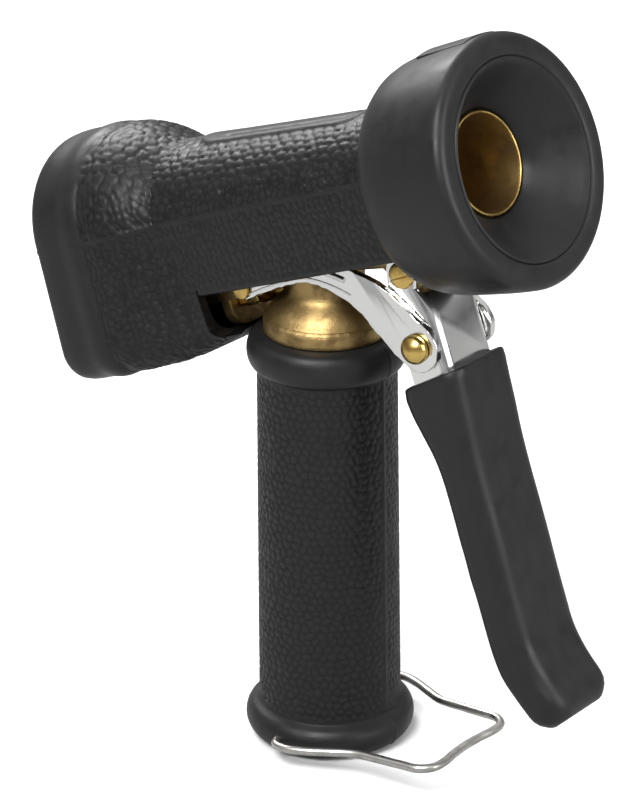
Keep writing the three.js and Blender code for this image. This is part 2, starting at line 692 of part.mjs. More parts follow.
// Link bolt through both arms and the channel, and its domed cap nut.
const linkFrame = new THREE.Group();
linkFrame.position.copy(linkAt);
root.add(linkFrame);
const domeProfile = (bore) => {
  const from = armOuter + GAP;
  const flat = [[3.9, from], [3.9, from + 1], [3.5, from + 2], [2.8, from + 2.8], [1.5, from + 3.4], [0, from + 3.6]];
  return bore ? [[0, from + 2], [bore, from + 2], [bore, from], ...flat] : flat;
};
const boltBody = [[0, -armOuter - 1.6], [link.boltR, -armOuter - 1.6], [link.boltR, armOuter + GAP]];
add(linkFrame, "link_bolt", arrangedAcross([...boltBody, ...domeProfile(0)], -1, 0, 0, 24), brass);
add(linkFrame, "link_cap_nut", arrangedAcross(domeProfile(link.boltR + 0.1), 1, 0, 0, 24), brass);
const spacerHalf = lever.half - lever.sheet - GAP;
const spacer = new THREE.CylinderGeometry(4, 4, spacerHalf * 2, 20);
const spacerBore = new THREE.CylinderGeometry(link.boltR + 0.2, link.boltR + 0.2, 60, 20);
add(linkFrame, "link_spacer", solid(spacer).subtract(solid(spacerBore)), steel);

// ---------- bail ----------
// Half of the wire in its own plane: [forward, out to the side].
const bailHalf = [
  [0, Math.max(handle.tubeR - 1.1, handle.threadR + 1 + GAP)], [0, grip.baseR - 1.8],
  [0, grip.baseBeadR - 0.5], [1.4, grip.baseBeadR + 2.3],
  [5, grip.baseBeadR + 3.3], [11, grip.baseBeadR + 1.9], [18, 22.2], [24, 19.6], [32, 18.9], [40, 18.5],
  [45, 18], [48, 15.4], [48.6, 11], [47.9, 6], [47.6, 2],
];
function bailWire() {
  const half = bailHalf.map(([x, y]) => new THREE.Vector3(x, y, 0));
  const other = bailHalf.slice().reverse().map(([x, y]) => new THREE.Vector3(x, -y, 0));
  return wire(new THREE.CatmullRomCurve3([...half, ...other], false, "centripetal"), bail.wireR, 84, 5);
}
const bailFrame = new THREE.Group();
bailFrame.position.set(0, 0, bail.z);
bailFrame.rotation.y = -bail.rise;
root.add(bailFrame);
add(bailFrame, "bail_wire", bailWire(), steel);

// The origin is under the middle of the whole object, at the handle's foot.
root.updateMatrixWorld(true);
const whole = new THREE.Box3().setFromObject(root, true);
const shiftX = -(whole.min.x + whole.max.x) / 2;
for (const frame of root.children) frame.position.x += shiftX;

export default root;
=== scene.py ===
# Hose spray nozzle: a brass pistol body under moulded rubber, with a chromed lever on two link
# arms and a wire bail. Tables of points are in millimetres; finished meshes are in metres.
import math

import bpy
import numpy as np
from mathutils import Matrix, Vector, kdtree


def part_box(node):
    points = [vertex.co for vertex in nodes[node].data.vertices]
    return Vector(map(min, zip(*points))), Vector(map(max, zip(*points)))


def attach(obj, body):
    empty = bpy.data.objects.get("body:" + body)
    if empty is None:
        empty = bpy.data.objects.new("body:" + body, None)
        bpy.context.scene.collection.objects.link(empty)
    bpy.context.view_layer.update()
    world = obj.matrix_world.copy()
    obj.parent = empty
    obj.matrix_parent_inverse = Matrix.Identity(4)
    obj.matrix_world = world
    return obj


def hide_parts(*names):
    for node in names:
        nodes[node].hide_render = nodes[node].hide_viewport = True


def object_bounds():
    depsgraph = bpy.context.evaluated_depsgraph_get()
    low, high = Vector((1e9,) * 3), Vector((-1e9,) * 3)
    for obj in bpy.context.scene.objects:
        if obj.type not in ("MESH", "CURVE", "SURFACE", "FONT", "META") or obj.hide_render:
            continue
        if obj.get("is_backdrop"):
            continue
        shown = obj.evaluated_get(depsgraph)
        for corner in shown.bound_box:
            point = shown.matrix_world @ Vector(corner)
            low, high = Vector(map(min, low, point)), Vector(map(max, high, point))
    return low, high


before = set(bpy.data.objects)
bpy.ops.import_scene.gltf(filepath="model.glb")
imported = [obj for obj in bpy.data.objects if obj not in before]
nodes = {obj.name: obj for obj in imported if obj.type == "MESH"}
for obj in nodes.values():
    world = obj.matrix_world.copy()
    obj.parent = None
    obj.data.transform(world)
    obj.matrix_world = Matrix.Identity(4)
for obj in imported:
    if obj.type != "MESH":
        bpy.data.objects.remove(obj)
cad_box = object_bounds()

# ---------------------------------------------------------------------------------------------
# Studio: a wide pale floor, one broad key light on the camera's side, a fill and a rim light.
# The camera looks down on the nozzle's right side and into its outlet.
# ---------------------------------------------------------------------------------------------
MM = 0.001
grip_low, grip_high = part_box("grip_sleeve")
HANDLE_X = (grip_low[0] + grip_high[0]) / 2
FLOOR_SPAN, FLOOR_DROP = 6, 0.0004
FLOOR_LIT, FLOOR_SEEN = (0.40, 0.40, 0.40, 1), (0.88, 0.88, 0.88, 1)
EYE = (0.5183 + HANDLE_X, -0.6400, 0.4495)


def clear_selection():
    if bpy.context.mode != "OBJECT":
        bpy.ops.object.mode_set(mode="OBJECT")
    bpy.ops.object.select_all(action="DESELECT")


def new_material(name):
    material = bpy.data.materials.new(name)
    material.use_nodes = True
    tree = material.node_tree
    return material, tree, tree.nodes["Principled BSDF"]


def dress(piece, material):
    piece.data.materials.clear()
    piece.data.materials.append(material)


clear_selection()
bpy.ops.mesh.primitive_plane_add(size=FLOOR_SPAN, location=(0, 0, -FLOOR_DROP))
floor = bpy.context.object
floor.name = "studio_floor"
floor_paint, tree, shader = new_material("floor_paper")
shader.inputs["Roughness"].default_value = 0.9
# near white to the camera, a mid grey to what it lights and to what reflects it
eye = tree.nodes.new("ShaderNodeLightPath")
paper = tree.nodes.new("ShaderNodeMix")
paper.data_type = "RGBA"
paper.inputs["A"].default_value = FLOOR_LIT
paper.inputs["B"].default_value = FLOOR_SEEN
tree.links.new(eye.outputs["Is Camera Ray"], paper.inputs["Factor"])
tree.links.new(paper.outputs["Result"], shader.inputs["Base Color"])
dress(floor, floor_paint)
floor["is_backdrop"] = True

world = bpy.data.worlds.new("studio_air")
bpy.context.scene.world = world
world.use_nodes = True
tree = world.node_tree
seen = tree.nodes.new("ShaderNodeLightPath")
compass = tree.nodes.new("ShaderNodeTexCoord")
parts = tree.nodes.new("ShaderNodeSeparateXYZ")
# what the pieces reflect: grey walls, a dark band and a brighter ceiling; the camera sees white
walls = tree.nodes.new("ShaderNodeValToRGB")
walls.color_ramp.elements[0].position = 0.30
walls.color_ramp.elements[0].color = (0.62, 0.62, 0.62, 1)
walls.color_ramp.elements[1].position = 0.78
walls.color_ramp.elements[1].color = (0.75, 0.75, 0.75, 1)
horizon = walls.color_ramp.elements.new(0.52)
horizon.color = (0.58, 0.58, 0.58, 1)
dark = walls.color_ramp.elements.new(0.62)
dark.color = (0.09, 0.09, 0.10, 1)
height = tree.nodes.new("ShaderNodeMapRange")
height.inputs["From Min"].default_value = -1
height.inputs["From Max"].default_value = 1
pick = tree.nodes.new("ShaderNodeMix")
pick.data_type = "RGBA"
pick.inputs["B"].default_value = (1, 1, 1, 1)
tree.links.new(compass.outputs["Generated"], parts.inputs["Vector"])
tree.links.new(parts.outputs["Z"], height.inputs["Value"])
tree.links.new(height.outputs["Result"], walls.inputs["Fac"])
tree.links.new(walls.outputs["Color"], pick.inputs["A"])
tree.links.new(seen.outputs["Is Camera Ray"], pick.inputs["Factor"])
tree.links.new(pick.outputs["Result"], tree.nodes["Background"].inputs["Color"])
tree.nodes["Background"].inputs["Strength"].default_value = 1

TARGET = Vector((0.01, 0, 0.11))
for name, place, size, power in [
    ("key_light", (0.15, -0.75, 0.95), 0.55, 15),
    ("fill_light", (0.95, 0.1, 0.5), 0.6, 7),
    ("rim_light", (-0.7, 0.35, 0.75), 0.5, 8),
]:
    lamp = bpy.data.lights.new(name, "AREA")
    lamp.size = size
    lamp.energy = power
    light = bpy.data.objects.new(name, lamp)
    bpy.context.scene.collection.objects.link(light)
    light.location = place
    light.rotation_euler = (TARGET - Vector(place)).to_track_quat("-Z", "Y").to_euler()

camera_data = bpy.data.cameras.new("studio_camera")
camera_data.lens = 149.3
camera_data.sensor_width = 36
camera_data.clip_end = 20
camera = bpy.data.objects.new("studio_camera", camera_data)
bpy.context.scene.collection.objects.link(camera)
ROLL = math.radians(-0.569)
back = Vector((0.58147, -0.71296, 0.39190)).normalized()
level = Vector((0.77494, 0.63203, 0)).normalized()
upward = back.cross(level)
right = level * math.cos(ROLL) + upward * math.sin(ROLL)
lift = upward * math.cos(ROLL) - level * math.sin(ROLL)
camera.matrix_world = Matrix(
    (
        (right.x, lift.x, back.x, EYE[0]),
        (right.y, lift.y, back.y, EYE[1]),
        (right.z, lift.z, back.z, EYE[2]),
        (0, 0, 0, 1),
    )
)
bpy.context.scene.camera = camera
bpy.context.scene.view_settings.view_transform = "Standard"

# ---------------------------------------------------------------------------------------------
# Rubber grip: a moulded sleeve pushed over the brass handle tube, pebbled between two smooth
# beads, with the mould's parting line down its front and back.
# ---------------------------------------------------------------------------------------------
RUBBER = (0.0085, 0.0087, 0.0092, 1)
GRIP_FOOT_R, GRIP_TOP_R = 19.8, 19.0
FOOT_BEAD_R, TOP_BEAD_R = 23.5, 21.7
FOOT_BEAD_Z, TOP_BEAD_Z = 4.8, 114.3
FOOT_BEAD_RISE, TOP_BEAD_RISE = 4.6, 4.7
GRIP_BORE_R, GRIP_END_Z = 14.5, 119.5
PEBBLE_FOOT_Z, PEBBLE_TOP_Z = 9.9, 109.2
GRIP_MEAN_R = 19.4
GRIP_SKIN_ROWS, GRIP_SKIN_STEPS = 190, 252
PEBBLES_ROUND, PEBBLE_ROW_PITCH = 52, 2.15
GROOVE_DEPTH, SEAM_RISE = 0.34, 0.22


def turn_on_lathe(name, profile, steps, axis="Z"):
    """Spins a row of (radius, place along the axis) points, in millimetres, into a turned piece."""
    clear_selection()
    bpy.ops.mesh.primitive_plane_add(size=0.01)
    piece = bpy.context.object
    piece.name = name
    bpy.ops.object.mode_set(mode="EDIT")
    bpy.ops.mesh.merge(type="CENTER")
    points = [Vector((r, 0, a)) if axis == "Z" else Vector((a, 0, r)) for r, a in profile]
    bpy.ops.transform.translate(value=points[0] * MM)
    for before, after in zip(points, points[1:]):
        bpy.ops.mesh.extrude_vertices_move(TRANSFORM_OT_translate={"value": (after - before) * MM})
    bpy.ops.mesh.select_all(action="SELECT")
    spin_axis = (0, 0, 1) if axis == "Z" else (1, 0, 0)
    bpy.ops.mesh.spin(steps=steps, angle=math.tau, center=(0, 0, 0), axis=spin_axis)
    bpy.ops.mesh.select_all(action="SELECT")
    bpy.ops.mesh.remove_doubles(threshold=1e-6)
    bpy.ops.mesh.normals_make_consistent(inside=False)
    bpy.ops.object.mode_set(mode="OBJECT")
    bpy.ops.object.shade_smooth_by_angle(angle=math.radians(38))
    return piece


def fillet(centre_r, centre_a, radius, start, end, steps=6):
    """Points of an arc in a profile; angles in degrees, from straight out to along the axis."""
    turns = np.radians(np.linspace(start, end, steps))
    return [(centre_r + radius * math.cos(k), centre_a + radius * math.sin(k)) for k in turns]


def settle(piece, matrix):
    """Puts a finished piece where it belongs, with its place in its mesh."""
    clear_selection()
    piece.matrix_world = matrix
    piece.select_set(True)
    bpy.context.view_layer.objects.active = piece
    bpy.ops.object.transform_apply(location=True, rotation=True, scale=True)


def points_of(piece):
    flat = np.empty(len(piece.data.vertices) * 3)
    piece.data.vertices.foreach_get("co", flat)
    return flat.reshape(-1, 3)


def normals_of(piece):
    flat = np.empty(len(piece.data.vertices) * 3)
    piece.data.vertices.foreach_get("normal", flat)
    return flat.reshape(-1, 3)


def move_points(piece, points):
    piece.data.vertices.foreach_set("co", points.reshape(-1))
    piece.data.update()


def groove_depth(points, seeds, stretch, width):
    """0 in the groove between two pebbles and 1 on a pebble, for points in millimetres."""
    tree_of_seeds = kdtree.KDTree(len(seeds))
    for i, seed in enumerate(seeds * stretch):
        tree_of_seeds.insert(seed, i)
    tree_of_seeds.balance()
    apart = np.empty(len(points))
    for i, point in enumerate(points * stretch):
        (_, _, near), (_, _, next_near) = tree_of_seeds.find_n(point, 2)
        apart[i] = next_near - near
    k = np.clip(apart / width, 0, 1)
    return k * k * (3 - 2 * k)


def keep_mask(piece, name, values):
    attribute = piece.data.attributes.new(name, "FLOAT", "POINT")
    attribute.data.foreach_set("value", np.asarray(values, dtype=np.float32))


def bump_group(name, scale, detail, reach):
    """Node group: fine moulded or cast grain as a normal, and broad soft patches as a mask."""
    group = bpy.data.node_groups.new(name, "ShaderNodeTree")
    strength = group.interface.new_socket("Strength", in_out="INPUT", socket_type="NodeSocketFloat")
    strength.default_value = 0.3
    group.interface.new_socket("Normal", in_out="OUTPUT", socket_type="NodeSocketVector")
    group.interface.new_socket("Cloud", in_out="OUTPUT", socket_type="NodeSocketFloat")
    link = group.links.new
    entry = group.nodes.new("NodeGroupInput")
    leave = group.nodes.new("NodeGroupOutput")
    place = group.nodes.new("ShaderNodeTexCoord")
    fine = group.nodes.new("ShaderNodeTexNoise")
    fine.inputs["Scale"].default_value = scale
    fine.inputs["Detail"].default_value = detail
    broad = group.nodes.new("ShaderNodeTexNoise")
    broad.inputs["Scale"].default_value = scale / 14
    broad.inputs["Detail"].default_value = 3
    bump = group.nodes.new("ShaderNodeBump")
    bump.inputs["Distance"].default_value = reach
    link(place.outputs["Object"], fine.inputs["Vector"])
    link(place.outputs["Object"], broad.inputs["Vector"])
    link(fine.outputs["Fac"], bump.inputs["Height"])
    link(entry.outputs["Strength"], bump.inputs["Strength"])
    link(bump.outputs["Normal"], leave.inputs["Normal"])
    link(broad.outputs["Fac"], leave.inputs["Cloud"])
    return group


fine_grain = bump_group("fine_grain", 2600, 4, 0.00012)


def use_group(tree, group, strength):
    node = tree.nodes.new("ShaderNodeGroup")
    node.node_tree = group
    node.inputs["Strength"].default_value = strength
    return node


def rubber(name, pebbled, grain, low, high):
    """Moulded black rubber with a faint bloom in patches; grooves darkened as painted shade."""
    material, tree, shader = new_material(name)
    link = tree.links.new
    grain_node = use_group(tree, fine_grain, grain)
    rough = tree.nodes.new("ShaderNodeMapRange")
    rough.inputs["To Min"].default_value = low
    rough.inputs["To Max"].default_value = high
    rough.inputs["From Min"].default_value = 0.3
    rough.inputs["From Max"].default_value = 0.7
    link(grain_node.outputs["Cloud"], rough.inputs["Value"])
    link(rough.outputs["Result"], shader.inputs["Roughness"])
    link(grain_node.outputs["Normal"], shader.inputs["Normal"])
    bloom = tree.nodes.new("ShaderNodeMix")
    bloom.data_type = "RGBA"
    bloom.inputs["A"].default_value = RUBBER
    bloom.inputs["B"].default_value = (0.0130, 0.0132, 0.0140, 1)
    link(grain_node.outputs["Cloud"], bloom.inputs["Factor"])
    colour = bloom.outputs["Result"]
    if pebbled:
        # painted shade: the grooves between pebbles are coloured darker than the rubber, by the
        # kept mask
        groove = tree.nodes.new("ShaderNodeAttribute")
        groove.attribute_name = "pebble"
        shade = tree.nodes.new("ShaderNodeMix")
        shade.data_type = "RGBA"
        shade.inputs["A"].default_value = (0.0035, 0.0035, 0.0038, 1)
        link(groove.outputs["Fac"], shade.inputs["Factor"])
        link(colour, shade.inputs["B"])
        colour = shade.outputs["Result"]
    link(colour, shader.inputs["Base Color"])
    shader.inputs["Specular IOR Level"].default_value = 0.28
    return material


pebbled_rubber = rubber("pebbled_rubber", True, 0.4, 0.34, 0.5)
smooth_rubber = rubber("smooth_rubber", False, 0.12, 0.34, 0.5)


def bead(skin_r, bead_r, centre_z, rise):
    """A half round bead on the grip's skin, as profile points."""
    turns = np.radians(np.linspace(-78, 78, 13))
    out = bead_r - skin_r
    return [(skin_r + out * math.cos(k), centre_z + rise * math.sin(k)) for k in turns]


grip_profile = [(GRIP_BORE_R, 0.0), (GRIP_MEAN_R, 0.0)]
grip_profile += bead(GRIP_FOOT_R, FOOT_BEAD_R, FOOT_BEAD_Z, FOOT_BEAD_RISE)
for i in range(GRIP_SKIN_ROWS + 1):
    k = i / GRIP_SKIN_ROWS
    skin_r = GRIP_FOOT_R + (GRIP_TOP_R - GRIP_FOOT_R) * k
    grip_profile.append((skin_r, PEBBLE_FOOT_Z + (PEBBLE_TOP_Z - PEBBLE_FOOT_Z) * k))
grip_profile += bead(GRIP_TOP_R, TOP_BEAD_R, TOP_BEAD_Z, TOP_BEAD_RISE)
grip_profile += [(17.6, GRIP_END_Z), (GRIP_BORE_R, GRIP_END_Z), (GRIP_BORE_R, 0.0)]
grip_sleeve = turn_on_lathe("grip_rubber", grip_profile, GRIP_SKIN_STEPS)
at = points_of(grip_sleeve) / MM
outward = normals_of(grip_sleeve)
radius = np.hypot(at[:, 0], at[:, 1])
turn = np.arctan2(at[:, 1], at[:, 0])
random = np.random.default_rng(11)
seeds = []
for row, z in enumerate(np.arange(9, 111, PEBBLE_ROW_PITCH)):
    for column in range(PEBBLES_ROUND):
        step = column + 0.5 * (row % 2) + random.uniform(-0.33, 0.33)
        angle = step / PEBBLES_ROUND * math.tau
        x, y = GRIP_MEAN_R * math.cos(angle), GRIP_MEAN_R * math.sin(angle)
        seeds.append((x, y, z + random.uniform(-0.75, 0.75)))
on_skin = (radius > 18.9) & (at[:, 2] > 10.2) & (at[:, 2] < 108.9)
above_foot = np.clip((at[:, 2] - PEBBLE_FOOT_Z) / 1.5, 0, 1)
below_top = np.clip((PEBBLE_TOP_Z - at[:, 2]) / 1.5, 0, 1)
fade = above_foot * below_top
from_seam = np.minimum(np.abs(turn), math.pi - np.abs(turn)) * GRIP_MEAN_R
fade *= np.clip((from_seam - 0.7) / 0.8, 0, 1)
pebble = np.ones(len(at))
pebble[on_skin] = groove_depth(at[on_skin], np.array(seeds), np.array((1, 1, 1)), 0.85)
mask = np.where(on_skin, fade, 0)
seam = np.where(radius > 18.5, np.clip(1 - from_seam / 0.35, 0, 1), 0)
sink = -GROOVE_DEPTH * (1 - pebble) * mask + SEAM_RISE * seam
move_points(grip_sleeve, (at + outward * sink[:, None]) * MM)
# this mask also paints shade into the grooves, as darker colour in the rubber
keep_mask(grip_sleeve, "pebble", 1 - (1 - pebble) * mask)
settle(grip_sleeve, Matrix.Translation((HANDLE_X, 0, 0)))
dress(grip_sleeve, pebbled_rubber)
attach(grip_sleeve, "body")
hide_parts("grip_sleeve")

# ---------------------------------------------------------------------------------------------
# Barrel jacket: one thick moulding of black rubber stretched over the brass barrel. Pebbled on the
# barrel, with a plain oval pad along its back, and split underneath so the link arms can pass.
# ---------------------------------------------------------------------------------------------
TILT = math.radians(20.7)
AXIS_Z = 157.3
BARREL = Matrix.Translation((HANDLE_X, 0, AXIS_Z * MM)) @ Matrix.Rotation(-TILT, 4, "Y")
SKIRT_FOOT = -18.0
MOULD_LINE_T = 3.5
PEBBLED_R = 21
BRICK_LONG, BRICK_WIDE, BRICK_STRETCH = 3.7, 2.5, 0.62
DOT_PITCH = 2.05
PAD_MIDDLE, PAD_LONG, PAD_WIDE = -6.0, 29.0, 6.3
PAD_RISE, OVAL_DEPTH, LINE_RISE = 0.55, 0.38, 0.2


def through(table, place):
    """Smooth values at one place, through a table of rows (place, value, value, ...)."""
    table = np.array(table, dtype=float)
    at_row = table[:, 0]
    slopes = np.gradient(table[:, 1:], at_row, axis=0)
    i = int(np.clip(np.searchsorted(at_row, place) - 1, 0, len(table) - 2))
    width = at_row[i + 1] - at_row[i]
    k = np.clip((place - at_row[i]) / width, 0, 1)
    low, high = table[i, 1:], table[i + 1, 1:]
    return (
        (2 * k**3 - 3 * k**2 + 1) * low
        + (k**3 - 2 * k**2 + k) * width * slopes[i]
        + (-2 * k**3 + 3 * k**2) * high
        + (k**3 - k**2) * width * slopes[i + 1]
    )


def evenly(points, count):
    """Even points round a closed row of points."""
    run = np.concatenate([[0], np.cumsum(np.hypot(*np.diff(points, axis=0).T))])
    even = np.linspace(0, run[-1], count + 1)[:-1]
    return np.stack([np.interp(even, run, column) for column in points.T], axis=1)


def cover_outline(half, centre, foot_half, foot, corner, count):
    """A round back, near-straight sides and a round-cornered flat foot, as even (y, t) points."""
    arc = np.radians(np.linspace(0, 180, 90))
    points = [(half * math.cos(k), centre + half * math.sin(k)) for k in arc]
    for side, first in ((-1, 180), (1, 270)):
        for k in np.radians(np.linspace(first, first + 90, 20)):
            y = side * (foot_half - corner) + corner * math.cos(k)
            points.append((y, foot + corner + corner * math.sin(k)))
    points.append(points[0])
    return evenly(np.array(points), count)


def ring_slots(points, count):
    """Which of a ring's evenly turned places each point stands at."""
    turns = np.arctan2(points[:, 1], points[:, 0]) % math.tau
    return np.rint(turns / math.tau * count).astype(int) % count


def skin(name, rings):
    """Skins a row of rings that all have the same number of points, and closes both ends."""
    count = len(rings[0])
    clear_selection()
    bpy.ops.mesh.primitive_circle_add(vertices=count, radius=MM, fill_type="NGON")
    piece = bpy.context.object
    piece.name = name
    bpy.ops.object.mode_set(mode="EDIT")
    bpy.ops.mesh.select_all(action="SELECT")
    for _ in rings[1:]:
        bpy.ops.mesh.extrude_region_move(TRANSFORM_OT_translate={"value": (0, 0, MM)})
    bpy.ops.object.mode_set(mode="OBJECT")
    flat = points_of(piece)
    level_of = np.rint(flat[:, 2] / MM).astype(int)
    move_points(piece, np.array(rings)[level_of, ring_slots(flat, count)] * MM)
    bpy.ops.object.mode_set(mode="EDIT")
    bpy.ops.mesh.select_all(action="SELECT")
    bpy.ops.mesh.normals_make_consistent(inside=False)
    bpy.ops.object.mode_set(mode="OBJECT")
    return piece


def skin_over(name, stations, places, count, inset=0.0):
    """Skins the cover's outline from place to place along the barrel."""
    rings = []
    for place in places:
        half, centre, foot_half, foot, corner = through(stations, place)
        half, foot_half, foot = half - inset, foot_half - inset, foot + inset
        outline = cover_outline(half, centre, foot_half, foot, corner, count)
        rings.append(np.column_stack([np.full(count, place), outline]))
    return skin(name, rings)


def boolean(piece, other, operation="DIFFERENCE"):
    """Cuts the other shape away, or keeps only what lies inside it, and throws it away."""
    clear_selection()
    bpy.context.view_layer.objects.active = piece
    piece.select_set(True)
    cut = piece.modifiers.new("cut", "BOOLEAN")
    cut.operation = operation
    cut.solver = "EXACT"
    cut.object = other
    bpy.ops.object.modifier_apply(modifier=cut.name)
    bpy.data.objects.remove(other, do_unlink=True)


def box_cutter(s0, s1, half, t0, t1, round_edge=0.0):
    """A block from s0 to s1 along the barrel and t0 to t1 up from its axis."""
    clear_selection()
    bpy.ops.mesh.primitive_cube_add(size=1, location=((s0 + s1) / 2 * MM, 0, (t0 + t1) / 2 * MM))
    cutter = bpy.context.object
    cutter.scale = ((s1 - s0) * MM, 2 * half * MM, (t1 - t0) * MM)
    bpy.ops.object.transform_apply(location=True, rotation=True, scale=True)
    if round_edge:
        bevel = cutter.modifiers.new("round", "BEVEL")
        bevel.width = round_edge * MM
        bevel.segments = 5
        bpy.ops.object.modifier_apply(modifier=bevel.name)
    return cutter


def rod_cutter(radius, s0, s1):
    """A rod on the barrel's axis from s0 to s1."""
    clear_selection()
    bpy.ops.mesh.primitive_cylinder_add(
        vertices=96,
        radius=radius * MM,
        depth=(s1 - s0) * MM,
        location=((s0 + s1) / 2 * MM, 0, 0),
        rotation=(0, math.pi / 2, 0),
    )
    cutter = bpy.context.object
    bpy.ops.object.transform_apply(location=True, rotation=True, scale=True)
    return cutter


def smoothed(value, low, high):
    """0 below low, 1 above high, and an S curve between."""
    k = np.clip((value - low) / (high - low), 0, 1)
    return k * k * (3 - 2 * k)


jacket_stations = [
    (-60, 21.4, 1.4, 18.9, SKIRT_FOOT, 1.2),
    (-46, 21.2, 1.2, 18.8, SKIRT_FOOT, 1.2),
    (-20, 20.4, 0.6, 18.6, SKIRT_FOOT, 1.2),
    (10, 19.6, 0.0, 18.4, SKIRT_FOOT, 1.2),
    (38, 19.0, -0.5, 18.2, SKIRT_FOOT, 1.2),
]
boot_stations = [
    (-85.35, 25.2, 3.1, 27.3, -32.9, 8.2),
    (-84.9, 26.3, 3.1, 28.4, -34.0, 8.7),
    (-83.9, 27.0, 3.1, 29.1, -34.7, 9.1),
    (-82.4, 27.3, 3.1, 29.4, -35.0, 9.3),
    (-75, 27.5, 3.1, 29.5, -35.2, 9.4),
    (-67.4, 27.5, 3.1, 29.5, -35.3, 9.5),
    (-66.6, 27.2, 3.1, 29.2, -35.1, 9.5),
    (-62, 27.0, 3.1, 28.6, -35.2, 9.8),
    (-58, 26.2, 3.0, 27.0, -35.2, 10),
    (-53, 24.6, 2.6, 25.2, -35.2, 10),
    (-48.5, 22.7, 2.0, 22.8, -34.8, 9.4),
    (-44, 20.9, 1.4, 21.2, -34.0, 8.4),
    (-40, 20.0, 1.0, 19.4, -32.9, 7.4),
    (-34, 19.5, 0.8, 18.0, -31.6, 6.4),
    (-27, 19.2, 0.6, 17.2, -30.8, 5.6),
]


def brick_seeds(random, pitch_s, pitch_r, radius_of, from_s, to_s, from_turn, to_turn):
    """Centres of pebbles laid in rows along the barrel, every row set off from the next."""
    seeds = []
    rows = int((to_turn - from_turn) * PEBBLED_R / pitch_r)
    for row in range(rows):
        turn = from_turn + (row + 0.5) / rows * (to_turn - from_turn)
        for s in np.arange(from_s, to_s, pitch_s):
            place = s + (row % 2) * pitch_s / 2 + random.uniform(-0.3, 0.3) * pitch_s
            k = turn + random.uniform(-0.22, 0.22) * pitch_r / PEBBLED_R
            r, centre = radius_of(place)
            seeds.append((place, r * math.cos(k), centre + r * math.sin(k)))
    return np.array(seeds)


def press_pebbles(piece, stations, seed, pebbled_where):
    """Sinks the grooves between pebbles: long bricks on the back, small round ones on the sides."""
    at = points_of(piece) / MM
    out = normals_of(piece)
    random = np.random.default_rng(seed)
    low, high = at[:, 0].min(), at[:, 0].max()

    def round_back(place):
        half, centre = through(stations, min(max(place, low), high))[:2]
        return half, centre

    bricks = brick_seeds(
        random, BRICK_LONG, BRICK_WIDE, round_back, low - 3, high + 3, 0.25, math.pi - 0.25
    )
    long_cells = groove_depth(at, bricks, np.array((BRICK_STRETCH, 1, 1)), 0.8)
    # small pebbles: seeds picked off the skin itself, one to each little cube of it
    keys = np.floor(at / DOT_PITCH).astype(int)
    _, first = np.unique(keys, axis=0, return_index=True)
    dots = at[first] + random.uniform(-0.35, 0.35, (len(first), 3)) * DOT_PITCH
    small_cells = groove_depth(at, dots, np.array((1, 1, 1)), 0.75)
    rise = np.degrees(np.arctan2(at[:, 2] - 1, np.abs(at[:, 1])))
    on_back = smoothed(rise, 22, 44)
    groove = (1 - long_cells) * on_back + (1 - small_cells) * 0.95 * (1 - on_back)
    keep = pebbled_where(at)
    sink = GROOVE_DEPTH * groove * keep
    move_points(piece, (at - out * sink[:, None]) * MM)
    # this mask also paints shade into the grooves, as darker colour in the rubber
    keep_mask(piece, "pebble", 1 - groove * keep)


def from_pad_line(at):
    """How far each point lies from the middle line of the oval pad along the barrel's back."""
    beyond = np.abs(at[:, 0] - PAD_MIDDLE) - (PAD_LONG - PAD_WIDE)
    return np.hypot(np.clip(beyond, 0, None), at[:, 1])


def jacket_pebbled(at):
    """1 where the barrel is pebbled, 0 on its back's pad, its mould line and its cut edges."""
    t = at[:, 2]
    reach = from_pad_line(at)
    on_pad = np.where(t > 0, 1 - smoothed(reach, PAD_WIDE + 0.2, PAD_WIDE + 1.4), 0)
    line = 1 - smoothed(np.abs(t - MOULD_LINE_T), 0.3, 0.9)
    edge = 1 - smoothed(t, SKIRT_FOOT + 0.8, SKIRT_FOOT + 2)
    return np.clip(1 - on_pad - line - edge, 0, 1)


jacket = skin_over("barrel_jacket", jacket_stations, np.linspace(-50, 37.5, 176), 236)
press_pebbles(jacket, jacket_stations, 5, jacket_pebbled)
at = points_of(jacket) / MM
reach = from_pad_line(at)
inner_oval = smoothed(reach, 2.9, 3.5) * (1 - smoothed(reach, 3.7, 4.3))
inner_oval = inner_oval * smoothed(at[:, 0], -26, -24)
on_pad = 1 - smoothed(reach, PAD_WIDE - 0.5, PAD_WIDE + 0.5)
pad_rise = np.where(at[:, 2] > 0, PAD_RISE * on_pad - OVAL_DEPTH * inner_oval, 0)
line_rise = LINE_RISE * (1 - smoothed(np.abs(at[:, 2] - MOULD_LINE_T), 0.12, 0.42))
move_points(jacket, (at + normals_of(jacket) * (pad_rise + line_rise)[:, None]) * MM)
boolean(jacket, rod_cutter(16.4, -60, 60))
boolean(jacket, box_cutter(-70, 34, 14.6, -40, -2))
bpy.ops.object.shade_smooth_by_angle(angle=math.radians(50))
settle(jacket, BARREL)
dress(jacket, pebbled_rubber)
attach(jacket, "body")
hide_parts("barrel_cover")

# ---------------------------------------------------------------------------------------------
# Rear boot: the end of the same moulding, swollen into a square-footed housing that keeps the
# crosshead and the stem's end off the hand. Smooth band round its back, with a round hole in it.
# ---------------------------------------------------------------------------------------------
BAND_FRONT = -66.9
BOOT_END, BOOT_WALL, BOOT_LINE_RISE = -85.35, 3.0, 0.22
BEAD_ROOM_R = 22.6


def boot_pebbled(at):
    """1 where the boot is pebbled, 0 on its rear band, its mould line and its front edge."""
    s, t = at[:, 0], at[:, 2]
    band = 1 - smoothed(s, BAND_FRONT, BAND_FRONT + 1)
    line = 1 - smoothed(np.abs(t - MOULD_LINE_T), 0.3, 0.9)
    edge = smoothed(s, -30, -28.5)
    return np.clip(1 - band - line - edge, 0, 1)


